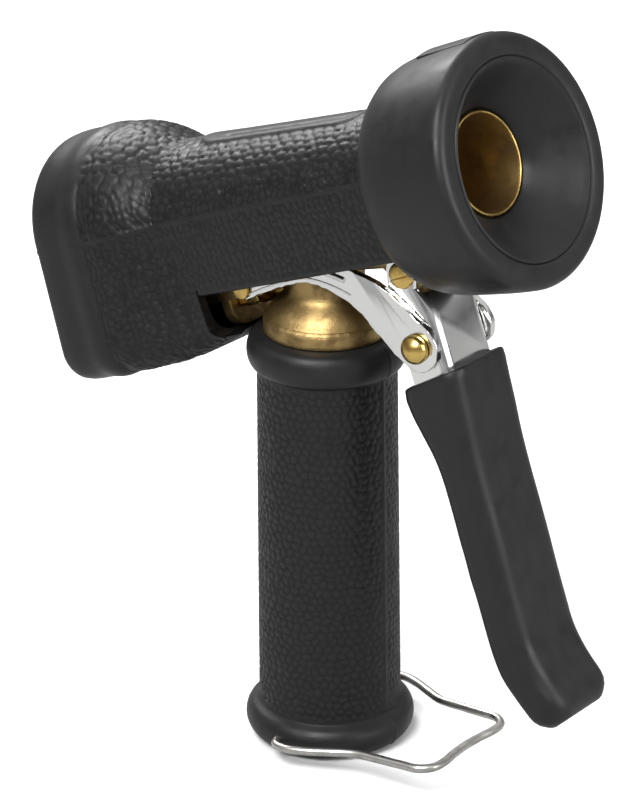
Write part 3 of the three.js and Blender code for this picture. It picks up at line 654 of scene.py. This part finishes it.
boot_places = np.concatenate([np.linspace(BOOT_END, -82.4, 9), np.linspace(-81.8, -27, 110)])
boot = skin_over("rear_boot", boot_stations, boot_places, 300)
press_pebbles(boot, boot_stations, 9, boot_pebbled)
at = points_of(boot) / MM
line_rise = BOOT_LINE_RISE * (1 - smoothed(np.abs(at[:, 2] - MOULD_LINE_T), 0.12, 0.42))
move_points(boot, (at + normals_of(boot) * line_rise[:, None]) * MM)
hollow = skin_over("hollow", boot_stations, np.linspace(-81.7, -20, 30), 80, inset=BOOT_WALL)
boolean(boot, hollow)
boolean(boot, rod_cutter(8, -90, -78))
boolean(boot, box_cutter(-37.9, 12, 60, -30.4, SKIRT_FOOT + 3.4, 2.6))
# room for the grip's top bead, under the boot's front
clear_selection()
bpy.ops.mesh.primitive_cylinder_add(
    vertices=96, radius=BEAD_ROOM_R * MM, depth=0.3, location=(0, 0, 0)
)
bead_room = bpy.context.object
bead_room.matrix_world = BARREL.inverted() @ Matrix.Translation((HANDLE_X, 0, 0.1))
bpy.ops.object.transform_apply(location=True, rotation=True, scale=True)
boolean(boot, bead_room)
bpy.ops.object.shade_smooth_by_angle(angle=math.radians(50))
settle(boot, BARREL)
dress(boot, pebbled_rubber)
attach(boot, "body")
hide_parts("barrel_cover")

# ---------------------------------------------------------------------------------------------
# Bumper bell: the front of the moulding, a thick smooth bell that takes the knocks when the nozzle
# is dropped. A creased flat rim leads into a funnel that holds the outlet.
# ---------------------------------------------------------------------------------------------
BELL_SPREAD, BELL_DROP = 0.024, 1.0
bell_profile = [
    (16.5, 35.6), (22.0, 35.2), (24.6, 35.5), (26.4, 36.3), (27.9, 37.5), (29.0, 39.2),
    (29.8, 41.6), (30.4, 44.5), (30.8, 48), (31.3, 53), (31.7, 58), (31.95, 63), (32.0, 65.4),
]
bell_profile += fillet(29.4, 65.6, 2.6, 0, 90, 9)
bell_profile += [
    (28.6, 68.25), (26.6, 68.15), (26.0, 67.9), (25.7, 67.5), (25.4, 67.9), (24.9, 68.0),
    (24.4, 67.6), (23.6, 66.6), (22.0, 64.6), (20.0, 62.2), (17.8, 59.8), (15.8, 57.6),
    (14.4, 56.0), (14.0, 55.2), (14.0, 50.0), (16.5, 50.0), (16.5, 35.0),
]
bell = turn_on_lathe("bumper_bell", bell_profile, 160, axis="X")
at = points_of(bell) / MM
# its outside stands a little wider than the lathe left it, and hangs a little low
reach = smoothed(np.hypot(at[:, 1], at[:, 2]), 18, 25)
spread = 1 + BELL_SPREAD * reach
at[:, 1] *= spread
at[:, 2] = at[:, 2] * spread - BELL_DROP * reach
move_points(bell, at * MM)
settle(bell, BARREL)
dress(bell, smooth_rubber)
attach(bell, "body")
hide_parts("barrel_cover")

# ---------------------------------------------------------------------------------------------
# Pad on the bell: a low raised plate of the same moulding, on top of the bell and curved to it.
# Its face is plain and its edges are soft.
# ---------------------------------------------------------------------------------------------
BADGE_MIDDLE, BADGE_LONG, BADGE_WIDE = 56.6, 16.4, 13.6
BADGE_R, BADGE_SINK, BADGE_THICK = 30.6, 0.9, 1.5

clear_selection()
bpy.ops.mesh.primitive_grid_add(x_subdivisions=24, y_subdivisions=24, size=1)
badge = bpy.context.object
badge.name = "bell_top_pad"
at = points_of(badge)
s = BADGE_MIDDLE + at[:, 0] * BADGE_LONG
lean = at[:, 1] * BADGE_WIDE / 31.5
rise = BADGE_R * np.cos(lean) - BADGE_SINK + (s - 47) * 0.05
move_points(badge, np.column_stack([s, BADGE_R * np.sin(lean), rise]) * MM)
bpy.ops.object.mode_set(mode="EDIT")
bpy.ops.mesh.select_all(action="SELECT")
bpy.ops.mesh.extrude_region_move(TRANSFORM_OT_translate={"value": (0, 0, BADGE_THICK * MM)})
bpy.ops.mesh.select_all(action="SELECT")
bpy.ops.mesh.normals_make_consistent(inside=False)
bpy.ops.object.mode_set(mode="OBJECT")
soften = badge.modifiers.new("soften", "BEVEL")
soften.width = 0.45 * MM
soften.segments = 3
soften.limit_method = "ANGLE"
bpy.ops.object.modifier_apply(modifier=soften.name)
bpy.ops.object.shade_smooth_by_angle(angle=math.radians(40))
settle(badge, BARREL)
dress(badge, smooth_rubber)
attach(badge, "body")

# ---------------------------------------------------------------------------------------------
# Cast shoulder: the body casting's flange that seats on the grip, swept up in a low bell to the
# neck that carries the barrel. Brass left as cast, with a fine grain and a thin brown tarnish.
# ---------------------------------------------------------------------------------------------
CAST_COLOUR, CAST_TARNISH = (0.40, 0.28, 0.115, 1), (0.21, 0.14, 0.058, 1)


def metal(name, clean, dull, low, high, grain, rounded):
    """Bare metal: two tones in soft patches, a fine grain, and edges that catch the light."""
    material, tree, shader = new_material(name)
    link = tree.links.new
    grain_node = use_group(tree, fine_grain, grain)
    patch = tree.nodes.new("ShaderNodeMix")
    patch.data_type = "RGBA"
    patch.inputs["A"].default_value = dull
    patch.inputs["B"].default_value = clean
    rough = tree.nodes.new("ShaderNodeMapRange")
    rough.inputs["From Min"].default_value = 0.35
    rough.inputs["From Max"].default_value = 0.65
    rough.inputs["To Min"].default_value = high
    rough.inputs["To Max"].default_value = low
    spread = tree.nodes.new("ShaderNodeMapRange")
    spread.inputs["From Min"].default_value = 0.38
    spread.inputs["From Max"].default_value = 0.56
    soft_edge = tree.nodes.new("ShaderNodeBevel")
    soft_edge.samples = 4
    soft_edge.inputs["Radius"].default_value = rounded
    facing = tree.nodes.new("ShaderNodeVectorMath")
    facing.operation = "ADD"
    plain = tree.nodes.new("ShaderNodeNewGeometry")
    away = tree.nodes.new("ShaderNodeVectorMath")
    away.operation = "SUBTRACT"
    link(grain_node.outputs["Cloud"], spread.inputs["Value"])
    link(grain_node.outputs["Cloud"], rough.inputs["Value"])
    link(spread.outputs["Result"], patch.inputs["Factor"])
    link(grain_node.outputs["Normal"], away.inputs[0])
    link(plain.outputs["Normal"], away.inputs[1])
    link(soft_edge.outputs["Normal"], facing.inputs[0])
    link(away.outputs["Vector"], facing.inputs[1])
    link(facing.outputs["Vector"], shader.inputs["Normal"])
    link(patch.outputs["Result"], shader.inputs["Base Color"])
    link(rough.outputs["Result"], shader.inputs["Roughness"])
    shader.inputs["Metallic"].default_value = 1
    return material


cast_brass = metal("cast_brass", CAST_COLOUR, CAST_TARNISH, 0.34, 0.5, 1.0, 0.0006)

shoulder_profile = [(9.6, 119.85), (16.6, 119.85), (17.05, 120.3), (17.05, 122.7)]
shoulder_profile += fillet(16.05, 122.9, 1.0, 0, 62, 6)
shoulder_profile += [
    (16.1, 124.3), (15.7, 125.2), (15.0, 126.4), (14.0, 127.6), (12.8, 128.7), (11.6, 129.7),
    (10.7, 130.9), (10.3, 132.6), (10.3, 146), (9.6, 146), (9.6, 119.85),
]
shoulder = turn_on_lathe("cast_shoulder", shoulder_profile, 144)
settle(shoulder, Matrix.Translation((HANDLE_X, 0, 0)))
dress(shoulder, cast_brass)
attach(shoulder, "body")

# ---------------------------------------------------------------------------------------------
# Outlet: a thin turned brass tube pressed into the front of the barrel, its bright lip just clear
# of the funnel's throat and its bore dulled by water. The valve's seat is at its far end.
# ---------------------------------------------------------------------------------------------
BRIGHT_COLOUR, BRIGHT_TARNISH = (0.60, 0.42, 0.13, 1), (0.36, 0.23, 0.07, 1)
BORE_COLOUR, BORE_TARNISH = (0.42, 0.30, 0.13, 1), (0.25, 0.165, 0.07, 1)

turned_brass = metal("turned_brass", BRIGHT_COLOUR, BRIGHT_TARNISH, 0.2, 0.34, 0.10, 0.0003)
bore_brass = metal("bore_brass", BORE_COLOUR, BORE_TARNISH, 0.34, 0.5, 0.2, 0.0003)

outlet_profile = [
    (12.7, 28.6), (13.55, 28.6), (13.55, 55.5), (13.4, 55.75), (13.12, 55.85), (12.85, 55.75),
    (12.7, 55.5), (12.7, 28.6),
]
outlet = turn_on_lathe("outlet_tube", outlet_profile, 160, axis="X")
settle(outlet, BARREL)
dress(outlet, bore_brass)
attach(outlet, "body")
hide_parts("outlet_sleeve")
lip_profile = [
    (12.8, 55.6), (13.5, 55.6), (13.45, 55.95), (13.15, 56.1), (12.85, 55.95), (12.8, 55.6),
]
outlet_lip = turn_on_lathe("outlet_lip", lip_profile, 160, axis="X")
settle(outlet_lip, BARREL)
dress(outlet_lip, turned_brass)
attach(outlet_lip, "body")

# ---------------------------------------------------------------------------------------------
# Link arms: two bowed arms stamped from thick sheet and chromed, one on each side. Their edges are
# tumbled round and a rib is pressed along the thin end to stiffen it.
# ---------------------------------------------------------------------------------------------
chrome_plate, tree, shader = new_material("chrome_plate")
grain_node = use_group(tree, fine_grain, 0.03)
tree.links.new(grain_node.outputs["Normal"], shader.inputs["Normal"])
polish = tree.nodes.new("ShaderNodeMapRange")
polish.inputs["From Min"].default_value = 0.3
polish.inputs["From Max"].default_value = 0.7
polish.inputs["To Min"].default_value = 0.10
polish.inputs["To Max"].default_value = 0.24
tree.links.new(grain_node.outputs["Cloud"], polish.inputs["Value"])
tree.links.new(polish.outputs["Result"], shader.inputs["Roughness"])
shader.inputs["Base Color"].default_value = (0.72, 0.72, 0.71, 1)
shader.inputs["Metallic"].default_value = 1

ARM_INNER, ARM_OUTER = 10.7, 12.7
# the arm's middle line from the crosshead pin to the link bolt: along, up, half width
ARM_LINE = [
    (-27, -18.8, 2.9), (-14, -17, 3.1), (-2.5, -17.1, 3.2), (4.5, -19.6, 3.7), (11.4, -23.6, 4.5),
    (15.1, -26.5, 5.2), (17.9, -29.6, 5.9), (21.1, -34, 6.3), (23.8, -38, 6.5), (26.8, -41.8, 6.6),
]


def along(points, count):
    """Even points on a smooth line through the given ones; every column is carried along."""
    points = np.array(points, dtype=float)
    run = np.concatenate([[0], np.cumsum(np.hypot(*np.diff(points[:, :2], axis=0).T))])
    table = np.column_stack([run, points])
    return np.array([through(table, place) for place in np.linspace(0, run[-1], count)])


def slab(name, outline, y0, y1, edge=0.0, segments=3, angle=40):
    """A flat outline of (x, z) points in millimetres, made thick along y, its edges rounded."""
    outline = np.array(outline, dtype=float)
    count = len(outline)
    clear_selection()
    bpy.ops.mesh.primitive_circle_add(vertices=count, radius=MM, fill_type="NGON")
    piece = bpy.context.object
    piece.name = name
    order = ring_slots(points_of(piece), count)
    flat = np.column_stack([outline[order, 0], np.full(count, y0), outline[order, 1]])
    move_points(piece, flat * MM)
    bpy.ops.object.mode_set(mode="EDIT")
    bpy.ops.mesh.select_all(action="SELECT")
    bpy.ops.mesh.extrude_region_move(TRANSFORM_OT_translate={"value": (0, (y1 - y0) * MM, 0)})
    bpy.ops.mesh.select_all(action="SELECT")
    bpy.ops.mesh.normals_make_consistent(inside=False)
    bpy.ops.object.mode_set(mode="OBJECT")
    if edge:
        soften = piece.modifiers.new("soften", "BEVEL")
        soften.width = edge * MM
        soften.segments = segments
        soften.limit_method = "ANGLE"
        soften.angle_limit = math.radians(angle)
        bpy.ops.object.modifier_apply(modifier=soften.name)
    bpy.ops.object.shade_smooth_by_angle(angle=math.radians(30))
    return piece


def round_end(at, away, width):
    """Points round the end of an arm, its round face the given way."""
    turns = math.atan2(away[1], away[0]) + np.radians(np.linspace(80, -80, 13))
    return [(at[0] + width * math.cos(k), at[1] + width * math.sin(k)) for k in turns]


line = along(ARM_LINE, 46)
ways = np.gradient(line[:, :2], axis=0)
ways /= np.hypot(ways[:, 0], ways[:, 1])[:, None]
left = np.column_stack([-ways[:, 1], ways[:, 0]])
upper = line[:, :2] + left * line[:, 2:3]
lower = line[:, :2] - left * line[:, 2:3]
arm_outline = list(map(tuple, upper)) + round_end(line[-1], ways[-1], line[-1, 2])
arm_outline += list(map(tuple, lower[::-1])) + round_end(line[0], -ways[0], line[0, 2])


def wire_along(name, places, radius, sides=5):
    """A round wire through a row of points in metres, as a closed mesh."""
    clear_selection()
    bpy.ops.curve.primitive_nurbs_path_add()
    wire = bpy.context.object
    wire.name = name
    wire.location = (0, 0, 0)
    spline = wire.data.splines[0]
    spline.points.add(len(places) - len(spline.points))
    for point, place in zip(spline.points, places):
        point.co = (*place, 1)
    spline.order_u = 3
    spline.use_endpoint_u = True
    wire.data.resolution_u = 2
    wire.data.bevel_depth = radius
    wire.data.bevel_resolution = sides
    wire.data.use_fill_caps = True
    bpy.ops.object.convert(target="MESH")
    bpy.ops.object.mode_set(mode="EDIT")
    bpy.ops.mesh.select_all(action="SELECT")
    bpy.ops.mesh.remove_doubles(threshold=1e-6)
    bpy.ops.mesh.normals_make_consistent(inside=False)
    bpy.ops.object.mode_set(mode="OBJECT")
    bpy.ops.object.shade_smooth_by_angle(angle=math.radians(40))
    return bpy.context.object


for word, side in (("right", -1), ("left", 1)):
    near, far = sorted((side * ARM_INNER, side * ARM_OUTER))
    arm = slab(f"arm_{word}", arm_outline, near, far, edge=0.45)
    settle(arm, BARREL)
    dress(arm, chrome_plate)
    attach(arm, "links")
    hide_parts(f"link_arm_{word}")
    # the pressed rib and, under it, the edge of the step it makes
    for part, last, aside, radius in (("rib", 27, 0.9, 0.95), ("step", 29, -2.0, 0.3)):
        y = side * (ARM_OUTER - 0.35 * radius)
        places = []
        for i in range(1, last):
            s, t = line[i, :2] + left[i] * aside * (0.6 + 0.4 * line[i, 2] / 3.7)
            places.append((s * MM, y * MM, t * MM))
        rib = wire_along(f"arm_{part}_{word}", places, radius * MM)
        settle(rib, BARREL)
        dress(rib, chrome_plate)
        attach(rib, "links")

# ---------------------------------------------------------------------------------------------
# Link bolt: brass, with a polished domed head on the right and a matching cap nut on the left, over
# the ends of the two arms.
# ---------------------------------------------------------------------------------------------
LINK = BARREL @ Vector((26.8 * MM, 0, -41.8 * MM))
dome = [
    (3.95, 13.0), (3.95, 13.9), (3.85, 14.35), (3.45, 15.0), (2.7, 15.7), (1.6, 16.3), (0.7, 16.6),
    (0.0, 16.68),
]


def across(piece, side, centre):
    """Stands a piece turned about z on its axis across the object, its head to one side."""
    settle(piece, Matrix.Translation(centre) @ Matrix.Rotation(math.radians(-90 * side), 4, "X"))


head = turn_on_lathe("link_bolt_head", [(0.0, -14.2), (2.6, -14.2), (2.6, 13.0)] + dome, 96)
across(head, -1, LINK)
cap = turn_on_lathe("link_cap", [(0.0, 15.0), (2.7, 15.0), (2.7, 13.0)] + dome, 96)
across(cap, 1, LINK)
for piece, node in ((head, "link_bolt"), (cap, "link_cap_nut")):
    dress(piece, turned_brass)
    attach(piece, "lever")
    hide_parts(node)

# ---------------------------------------------------------------------------------------------
# Hinge bolt: a slotted brass screw through the casting's lug, turned from bar. The lever swings
# on it, and a nut holds it on the left.
# ---------------------------------------------------------------------------------------------
HINGE = BARREL @ Vector((27.7 * MM, 0, -22.6 * MM))
screw_profile = [
    (0.0, -12.5), (2.2, -12.5), (2.2, 10.7), (3.6, 10.7), (3.6, 11.9), (3.4, 12.3), (2.6, 12.7),
    (1.4, 12.9), (0, 12.95),
]
screw = turn_on_lathe("hinge_screw", screw_profile, 72)
clear_selection()
slot_turn = (0, 0, math.radians(24))
bpy.ops.mesh.primitive_cube_add(size=1, location=(0, 0, 12.8 * MM), rotation=slot_turn)
slot_cutter = bpy.context.object
slot_cutter.scale = (9 * MM, 0.95 * MM, 2.0 * MM)
bpy.ops.object.transform_apply(location=True, rotation=True, scale=True)
boolean(screw, slot_cutter)
bpy.ops.object.shade_smooth_by_angle(angle=math.radians(35))
across(screw, -1, HINGE)
dress(screw, turned_brass)
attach(screw, "lever")
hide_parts("lever_hinge_bolt")

# ---------------------------------------------------------------------------------------------
# Lever: a chromed steel channel folded from sheet, its web to the front with soft bends to the two
# flanges, and the top of the web bent back between them.
# ---------------------------------------------------------------------------------------------
WEB = [
    (3.4, -3.4), (8.6, -8.6), (14.9, -25.6), (17.2, -33), (19.6, -42), (25.3, -60.8),
    (31.8, -79.4), (34.4, -87.6),
]
BACK = [(26.8, -84), (21.2, -68), (15.6, -52), (10.4, -40), (3.4, -29.4), (-4.6, -9)]
CHANNEL_HALF, CHANNEL_ROOM, WEB_THICK = 10.4, 8.8, 1.75
CROWN_R = 5.7

web_block = WEB + [(20, -100), (-40, -100), (-40, 8), (3.4, 8)]
channel = slab(
    "lever_sheet", web_block, -CHANNEL_HALF, CHANNEL_HALF, edge=3.6, segments=7, angle=60
)
crown_turns = np.radians(np.linspace(184, 0, 26))
crown = [(CROWN_R * math.cos(k), CROWN_R * math.sin(k)) for k in crown_turns]
clip = slab("clip", WEB + BACK + [(-5.6, -1)] + crown, -12, 12)
boolean(channel, clip, "INTERSECT")
inner_block = [(x - WEB_THICK, z) for x, z in web_block]
inner = slab("inner", inner_block, -CHANNEL_ROOM, CHANNEL_ROOM, edge=2.0, segments=5, angle=60)
boolean(channel, inner)
window = [(-6, -4.8), (12, -4.8), (12, 12), (-6, 12)]
front_window = slab("window", window, -CHANNEL_ROOM, CHANNEL_ROOM)
boolean(channel, front_window)
bpy.ops.object.shade_smooth_by_angle(angle=math.radians(30))
settle(channel, Matrix.Translation(HINGE))
dress(channel, chrome_plate)
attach(channel, "lever")
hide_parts("lever_channel")

# ---------------------------------------------------------------------------------------------
# Lever rubber: a plain black sleeve dipped or pushed over the channel, thick and round-edged, with
# its end curled forward to a tip that the bail can hold.
# ---------------------------------------------------------------------------------------------
SLEEVE_FRONT = [
    (17.3, -21.6), (19.1, -28.4), (21.2, -35.6), (23.3, -43.4), (26.4, -53), (29.7, -62.2),
    (33, -71.8), (35.8, -80.6), (38.4, -88.4), (40.7, -95.2), (44.4, -101.6), (48.6, -107),
]
SLEEVE_BACK = [
    (0.4, -32.2), (3.8, -38.6), (7.6, -43.9), (11, -48.7), (13.6, -53.8), (15.6, -58.9),
    (17.5, -64.2), (19.3, -69.5), (21.2, -74.7), (23, -80), (25.1, -85.2), (27, -90.5),
    (28.9, -95.8), (31, -101), (33.8, -106), (38, -110.4), (42.4, -114.4),
]
SLEEVE_HALF, SLEEVE_CORNER, SLEEVE_TIP = 12.6, 4.6, 6.2
SLEEVE_SLICES, SLEEVE_SIDES = 64, 72
curl = np.linspace(0, 1, SLEEVE_SLICES)[:, None] ** 6 * (1.6, 1.0)
front = along(SLEEVE_FRONT, SLEEVE_SLICES) + curl
rear = along(SLEEVE_BACK, SLEEVE_SLICES) - (1.3, 0.5)


def sleeve_section(fore, aft, half, corner, push):
    """One slice of the sleeve: a rectangle with round corners between its front and back lines."""
    fore, aft = np.array(fore), np.array(aft)
    middle = (fore + aft) / 2
    reach = np.hypot(*(fore - aft)) / 2
    u = (fore - aft) / (2 * reach)
    down = np.array((u[1], -u[0]))
    corner = min(corner, reach - 0.05, half - 0.05)
    ring = []
    for k in np.radians((np.arange(SLEEVE_SIDES) + 0.5) * 360 / SLEEVE_SIDES):
        c, d = math.cos(k), math.sin(k)
        a = (reach - corner) * np.sign(c) + corner * c
        ring.append((a, (half - corner) * np.sign(d) + corner * d))
    a, b = evenly(np.array(ring + ring[:1]), SLEEVE_SIDES).T
    place = middle + down * push
    return np.column_stack([place[0] + u[0] * a, b, place[1] + u[1] * a])


def drawn_in(i, inset, corner, push):
    """The slice at an end of the sleeve, made smaller all round and pushed on."""
    u = (front[i] - rear[i]) / np.hypot(*(front[i] - rear[i]))
    half = SLEEVE_HALF - inset
    return sleeve_section(front[i] - u * inset, rear[i] + u * inset, half, corner, push)


rings = []
for inset, push in ((0.9, 0.0), (0.45, 0.08), (0.15, 0.3), (0.0, 0.8)):
    rings.append(drawn_in(0, inset, 5.6, push))
for fore, aft in zip(front[2:], rear[2:]):
    rings.append(sleeve_section(fore, aft, SLEEVE_HALF, SLEEVE_CORNER, 0))
for k in np.radians((18, 36, 54, 70, 84)):
    inset = 4.3 * (1 - math.cos(k))
    rings.append(drawn_in(-1, inset, SLEEVE_CORNER, SLEEVE_TIP * math.sin(k)))
sleeve = skin("lever_rubber", rings)
bpy.ops.object.shade_smooth_by_angle(angle=math.radians(40))
settle(sleeve, Matrix.Translation(HINGE))
dress(sleeve, smooth_rubber)
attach(sleeve, "lever")
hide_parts("lever_grip")

# ---------------------------------------------------------------------------------------------
# Bail: spring wire bent to a long loop, its two ends sprung into the foot of the handle. It swings
# up over the lever's tip to hold the lever squeezed.
# ---------------------------------------------------------------------------------------------
WIRE_STEEL, WIRE_DULL = (0.52, 0.51, 0.49, 1), (0.36, 0.35, 0.33, 1)
WIRE_R, BAIL_AXIS_Z, BAIL_REST = 1.2, 4.8, -5
BAIL_HALF = [
    (0, 13.1), (0, 18), (0, 23), (1.4, 25.8), (5, 26.8), (11, 25.4), (18, 22.2), (24, 19.6),
    (32, 18.9), (40, 18.5), (45, 18), (48, 15.4), (48.6, 11), (47.9, 6), (47.6, 2),
]
steel_wire = metal("steel_wire", WIRE_STEEL, WIRE_DULL, 0.26, 0.4, 0.10, 0.0002)
loop = along(BAIL_HALF + [(x, -y) for x, y in BAIL_HALF[::-1]], 150)
bail = wire_along("bail_loop", [(x * MM, y * MM, 0) for x, y in loop], WIRE_R * MM, sides=6)
bail_foot = Matrix.Translation((HANDLE_X, 0, BAIL_AXIS_Z * MM))
settle(bail, bail_foot @ Matrix.Rotation(math.radians(BAIL_REST), 4, "Y"))
dress(bail, steel_wire)
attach(bail, "bail")
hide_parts("bail_wire")

# ---------------------------------------------------------------------------------------------
# The pieces shown as they were measured: the casting's barrel, lug and thread, the valve, the
# crosshead with its nuts and stud, the washers and the spring.
# ---------------------------------------------------------------------------------------------
seal_rubber = rubber("seal_rubber", False, 0.2, 0.5, 0.65)
finishes = {
    "body_casting": cast_brass,
    "crosshead": cast_brass,
    "gland_nut": turned_brass,
    "packing_washer": turned_brass,
    "valve_seat": turned_brass,
    "valve_stem": turned_brass,
    "stroke_nut": turned_brass,
    "stroke_stud": turned_brass,
    "stem_front_nut": turned_brass,
    "stem_rear_nut": turned_brass,
    "stem_lock_nut": turned_brass,
    "crosshead_pin_right": turned_brass,
    "crosshead_pin_left": turned_brass,
    "lever_hinge_nut": turned_brass,
    "link_spacer": steel_wire,
    "return_spring": steel_wire,
    "inlet_washer": seal_rubber,
    "stem_packing": seal_rubber,
    "valve_washer": seal_rubber,
}
for node, finish in finishes.items():
    dress(nodes[node], finish)

size = {"cad": [list(map(float, corner)) for corner in cad_box], "visual": [list(map(float, corner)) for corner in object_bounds()]}
